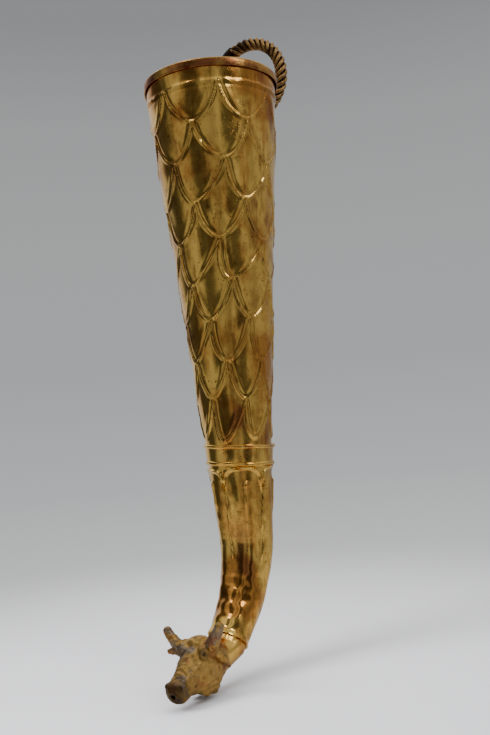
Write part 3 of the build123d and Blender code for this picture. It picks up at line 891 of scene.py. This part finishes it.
def carve_head(points, skin):
    """Eyes, nostrils, hair, folds and foundry roughness, as a rise of the skin."""
    local = points - np.array(head_point(0, 0, 0))
    side, ahead, up = np.abs(local[:, 0]), -local[:, 1], local[:, 2]
    eye = near_pair(points, EYE_AT)
    rise = 0.45 * bell(eye - 2.6, 0.9) - 1.5 * bell(eye, 1.1)
    nostril = near_pair(points, NOSTRIL_AT)
    rise += 0.3 * bell(nostril - 1.7, 0.8) - 0.6 * bell(nostril, 0.9)
    mouth = near_pair(points, MOUTH_AT)
    rise += 0.35 * bell(mouth - 3.0, 0.8)
    forehead = fade(up + 0.62 * ahead, 19.0, 24.0) * fade(-ahead, -48.0, -42.0)
    rise += 0.2 * forehead * fade(ahead, 14.0, 22.0) * ripple(points, 4.0, 41)
    folds = fade(ahead, 46.0, 48.0) * fade(-ahead, -55.0, -53.0) * fade(-side, -6, -3)
    rise += 0.3 * folds * np.sin(ahead * 2 * np.pi / FOLD_PITCH + ripple(points, 9.0, 42))
    jaw_edge = fade(-(up - 0.9 * (ahead - 30.0)), 11.0, 15.0) * fade(-ahead, -37.0, -32.0)
    rise += 0.3 * jaw_edge * np.sin(up * 2 * np.pi / JAW_PITCH) * fade(ahead, 18.0, 22.0)
    cast_part = fade(ahead, *SOCKET_END)
    start = np.array(FACET[0])
    run = np.array(FACET[1]) - start
    spot = np.stack([local[:, 0], ahead, up], -1) - start
    along = np.clip(spot @ run / (run @ run), 0, 1)
    off = np.linalg.norm(spot - along[:, None] * run, axis=1)
    rise += (0.9 * bell(off, 1.0) - 0.6 * bell(off - 3.0, 1.8)) * (1 - cast_part)
    rise += cast_part * skin * (1.2 * ripple(points, 5.5, 43) + 0.8 * ripple(points, 2.4, 44))
    pits = fade(ripple(points, 2.6, 45), 1.5, 2.2)
    return rise - 0.3 * pits * cast_part


def head_shade_and_tint(points):
    """Painted shade in and round the eye pits and in the nostrils, and a dark tint on the muzzle."""
    eye, mouth = near_pair(points, EYE_AT), near_pair(points, MOUTH_AT)
    return (bell(eye, 2.2) + 0.45 * bell(eye - 3.6, 1.0) + 1.2 * bell(mouth, 10.0)
            + 0.5 * bell(near_pair(points, NOSTRIL_AT), 1.8))


def cut_out(obj, shell):
    """Takes a closed form away from a piece."""
    cutter = solid_from("cutter", shell)
    hollow = obj.modifiers.new("hollow", "BOOLEAN")
    hollow.operation = "DIFFERENCE"
    hollow.object = cutter
    hollow.solver = "EXACT"
    apply_modifiers(obj)
    bpy.data.objects.remove(cutter)
    if not obj.data.polygons:
        raise RuntimeError(f"{obj.name} came out empty")


class HORN_OT_head(bpy.types.Operator):
    """Models the bull's skull, jaw and muzzle, and hollows it"""

    bl_idname = "horn.head"
    bl_label = "Bull's head"

    def execute(self, context):
        shell = bmesh.new()
        rings = skull_rings(64)
        add_sections(shell, rings)
        for lumps, hands in ((LUMPS, (1, -1)), (MID_LUMPS, (1,))):
            for side, ahead, rise, *size, pitch in lumps:
                for hand in hands:
                    add_lump(shell, head_point(hand * side, ahead, rise), size, pitch)
        head = melt("bull_head", shell, HEAD_GRAIN, 14)
        points, normals = mesh_points(head)
        push(head, points, normals, carve_head(points, context.scene.horn_sizes.skin))
        cavity = bmesh.new()
        middles = rings.mean(axis=1, keepdims=True)
        reach = np.linalg.norm(rings - middles, axis=2, keepdims=True)
        inner = middles + (rings - middles) * (1 - HEAD_WALL / reach)
        add_sections(cavity, inner[:-SOLID_MUZZLE])
        cut_out(head, cavity)
        pitch = math.radians(MOUTH_PITCH)
        into = Vector((0, math.cos(pitch), math.sin(pitch)))
        start = head_point(*MOUTH_AT) - into * MOUTH_CLEAR
        bore = bmesh.new()
        add_path(bore, [(start, MOUTH_R), (start + into * MOUTH_LENGTH, MOUTH_R)], 32)
        cut_out(head, bore)
        # Stored marks: painted shade in the eye and nostril pits, and a dark tint on the muzzle.
        keep_dirt_and_shade(head, head_shade_and_tint(mesh_points(head)[0]))
        head.data.set_sharp_from_angle(angle=math.radians(60.0))
        finish_piece(head, cast_brass_skin, "cast_brass", "horn", "head_casting")
        return {"FINISHED"}


def limb(name, stations, hand, flat, seed):
    """Horn or ear through its stations, on one hand."""
    shell = bmesh.new()
    points = [(head_point(hand * side, ahead, rise), radius) for side, ahead, rise, radius in stations]
    add_path(shell, points, 24, flat)
    tip, radius = points[-1]
    add_lump(shell, tip, (radius, radius * flat, radius))
    piece = melt(name, shell, LIMB_GRAIN, 4)
    points, normals = mesh_points(piece)
    grain = 0.9 * ripple(points, 4.5, seed) + 0.8 * ripple(points, 2.0, seed + 1)
    push(piece, points, normals, bpy.context.scene.horn_sizes.skin * grain)
    return piece


def pair_of(kind, stations, flat, seed):
    """Both horns or both ears."""
    for hand, word in SIDE_NAMES.items():
        piece = limb(f"bull_{word}_{kind}", stations[hand], hand, flat, seed + hand)
        finish_piece(piece, cast_brass_skin, "cast_brass", "horn", f"{word}_{kind}")


class HORN_OT_horns(bpy.types.Operator):
    """Shapes the two blunt horns"""

    bl_idname = "horn.horns"
    bl_label = "Horns"

    def execute(self, context):
        pair_of("horn", HORN_STATIONS, 1, 50)
        return {"FINISHED"}


class HORN_OT_ears(bpy.types.Operator):
    """Shapes the two ears"""

    bl_idname = "horn.ears"
    bl_label = "Ears"

    def execute(self, context):
        pair_of("ear", EAR_STATIONS, EAR_FLAT, 60)
        return {"FINISHED"}


# ---------------------------------------------------------------- ring and lug
class HORN_OT_ring(bpy.types.Operator):
    """Gives the twisted ring, its sleeve and the lug their metals"""

    bl_idname = "horn.ring"
    bl_label = "Ring and lug"

    def execute(self, context):
        strands = [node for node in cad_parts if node.startswith("ring_strand")]
        dress(twisted_brass_with_lay_shade, "ring_core", *strands)
        dress(blackened_brass, "ring_ferrule")
        dress(cast_brass_skin, "lug_plate", "lug_eye", "lug_rivets", "rivet_roves")
        return {"FINISHED"}


# ---------------------------------------------------------------- stage
FLOOR_R = 0.75  # metres
FLOOR_FADE = (0.1, 0.75)  # paper starts and ends its fade at these shares of the radius
CAMERA_AT = Vector((0.31174, -0.47313, -0.23337))
CAMERA_FORWARD = Vector((-0.53673, 0.84167, 0.05927))
CAMERA_UP = Vector((0.09902, -0.00692, 0.99506))
LENS = 40.45  # mm on the sensor's width
SENSOR = 36.0

# Soft boxes: name, place and size in metres, power in watts, and whether metal mirrors it
SOFT_BOXES = (
    ("left_box", (-0.45, -0.75, 0.35), (0.4, 0.5), 13.0, False),
    ("front_box", (0.75, -0.15, 0.45), (0.35, 0.35), 1.6, True),
    ("right_box", (0.8, 0.1, 0.3), (0.9, 1.2), 4.0, False),
    ("top_box", (0.1, -0.2, 0.9), (1.0, 1.0), 13.0, False),
    ("glint_box", (-0.1, -0.5, 0.8), (0.35, 0.25), 1.0, True),
)
LAMPS_AIM = Vector((0, 0, -0.2))

# Room mirrored in the metal: angle from -Y towards +X, and how bright it is there
ROOM_WARMTH = 0.96  # blue as a share of red and green
CEILING = 2.0  # overhead, as a share of the level at eye height
ROOM = (
    (-180, 0.34), (-150, 0.42), (-118, 0.75), (-98, 0.6), (-88, 0.07), (-60, 0.06), (-46, 0.36),
    (-24, 0.42), (-10, 0.07), (8, 0.08), (18, 0.36), (34, 0.2), (44, 0.42), (54, 0.08), (68, 0.1),
    (78, 0.4), (104, 0.24), (112, 0.36), (136, 0.36), (180, 0.34),
)
# Paper behind the object, with painted shading that darkens it higher up: sine of the height above level,
# and its colour there
PAPER_WITH_PAINTED_SHADE = (
    (-0.32, "#E2E2E3"), (-0.235, "#E4E4E4"), (-0.169, "#D6D7D8"), (-0.076, "#BFC0C2"),
    (0.068, "#ADAFB1"), (0.211, "#ACADAE"), (0.343, "#A3A4A5"), (0.441, "#909193"),
)


def soft_box(name, at, size, power, seen):
    """Rectangular studio lamp pointed at the object; seen says whether metal mirrors it."""
    lamp = bpy.data.lights.new(name, "AREA")
    lamp.shape = "RECTANGLE"
    lamp.size, lamp.size_y = size
    lamp.energy = power
    obj = add_object(name, lamp)
    obj.location = at
    obj.rotation_euler = (LAMPS_AIM - Vector(at)).to_track_quat("-Z", "Y").to_euler()
    obj.visible_glossy = seen


def set_stops(ramp, stops):
    """Fills a colour ramp with (position, colour) stops in rising order."""
    while len(ramp.elements) < len(stops):
        ramp.elements.new(1.0)
    for element, (position, colour) in zip(ramp.elements, stops):
        element.position = position
        element.color = colour


def studio_world():
    """Pale paper behind the object for the eye, with painted shading that darkens it higher up; for
    reflections and light a room of pale walls with a dark side where the camera stands."""
    world = bpy.data.worlds.new("studio")
    node = start_nodes(world)
    place = node("TexCoord").outputs["Generated"]
    axes = node("SeparateXYZ", Vector=place).outputs
    back = node("Math", MULTIPLY, axes["Y"], -1.0)
    turn = node("Math", ARC_TANGENT, axes["X"], back)
    share = node("Math", ADD, node("Math", DIVIDE, turn, 2 * math.pi), 0.5)
    room = node("ValToRGB", Fac=share)
    set_stops(room.color_ramp, [(0.5 + angle / 360, (level, level, level * ROOM_WARMTH, 1.0))
                                for angle, level in ROOM])
    sky = node("MapRange", SMOOTH, axes["Z"], 0.2, 0.8, 0.95, CEILING)
    lit = node("VectorMath", SCALE, room, Scale=sky)
    # Painted shading on the paper: lighter low down, darker higher up.
    paper = node("ValToRGB", Fac=node("Math", ADD, axes["Z"], 0.5))
    set_stops(paper.color_ramp, [(0.5 + height, linear(colour)) for height, colour in PAPER_WITH_PAINTED_SHADE])
    seen = node("LightPath").outputs["Is Camera Ray"]
    background = node("Background", Color=layered(node, lit, (seen, paper)), Strength=1.0)
    node("OutputWorld", Surface=background)
    bpy.context.scene.world = world


def paper_floor(colours):
    """White paper, made matt so that it takes soft shadows, fading into the sweep behind it."""
    material, node, where = start_material("white paper, matt")
    radius = node("VectorMath", DISTANCE, where, (0.0, NECK_END_Y, FLOOR_Z))
    fade = node("MapRange", SMOOTH, radius, *(part * FLOOR_R * PER_M for part in FLOOR_FADE))
    mirrored = node("LightPath").outputs["Is Glossy Ray"]
    shown = layered(node, colours.floor, (mirrored, colours.floor_mirrored))
    paper = node("BsdfDiffuse", Color=shown)
    mix = node("MixShader", None, fade, paper, node("BsdfTransparent"))
    node("OutputMaterial", Surface=mix)
    return material


class HORN_OT_stage(bpy.types.Operator):
    """Sets the floor, the lamps, the room and the camera"""

    bl_idname = "horn.stage"
    bl_label = "Stage"

    def execute(self, context):
        scene = context.scene
        around = 96
        turn = np.linspace(0, 2 * np.pi, around, endpoint=False)
        middle = np.array([0.0, NECK_END_Y, FLOOR_Z - 0.5])
        edge = middle + FLOOR_R * PER_M * np.stack([np.cos(turn), np.sin(turn), 0 * turn], -1)
        faces = [(0, i + 1, (i + 1) % around + 1) for i in range(around)]
        floor = mesh_from("paper_floor", np.vstack([middle[None], edge]), faces)
        floor.data.materials.append(paper_floor(scene.horn_colours))
        studio_world()
        for box in SOFT_BOXES:
            soft_box(*box)
        camera = add_object("camera", bpy.data.cameras.new("camera"))
        right = CAMERA_FORWARD.cross(CAMERA_UP).normalized()
        up = right.cross(CAMERA_FORWARD).normalized()
        turned = Matrix((right, up, -CAMERA_FORWARD.normalized())).transposed()
        camera.matrix_world = Matrix.Translation(CAMERA_AT) @ turned.to_4x4()
        camera.data.lens = LENS
        camera.data.sensor_width = SENSOR
        camera.data.clip_start = 0.01
        scene.camera = camera
        return {"FINISHED"}


# ---------------------------------------------------------------- panel
BUILDERS = (HORN_OT_cone, HORN_OT_rim, HORN_OT_collar, HORN_OT_neck, HORN_OT_head, HORN_OT_horns,
            HORN_OT_ears, HORN_OT_ring, HORN_OT_stage)


class HORN_PT_pieces(bpy.types.Panel):
    """Lists the pieces and their sizes and colours"""

    bl_label = "Bull's-head horn"
    bl_idname = "HORN_PT_pieces"
    bl_space_type = "VIEW_3D"
    bl_region_type = "UI"
    bl_category = "Horn"

    def draw(self, context):
        for builder in BUILDERS:
            self.layout.operator(builder.bl_idname)
        for group in (context.scene.horn_sizes, context.scene.horn_colours):
            column = self.layout.column(align=True)
            for name in group.__annotations__:
                column.prop(group, name)


CLASSES = (HornSizes, HornColours) + BUILDERS + (HORN_PT_pieces,)


def register():
    for made in CLASSES:
        bpy.utils.register_class(made)
    bpy.types.Scene.horn_sizes = PointerProperty(type=HornSizes)
    bpy.types.Scene.horn_colours = PointerProperty(type=HornColours)


def unregister():
    del bpy.types.Scene.horn_sizes
    del bpy.types.Scene.horn_colours
    for made in reversed(CLASSES):
        bpy.utils.unregister_class(made)


def main():
    register()
    for builder in BUILDERS:
        group, name = builder.bl_idname.split(".")
        if "FINISHED" not in getattr(getattr(bpy.ops, group), name)():
            raise RuntimeError(f"{builder.bl_idname} didn't finish")


if __name__ == "__main__":
    main()
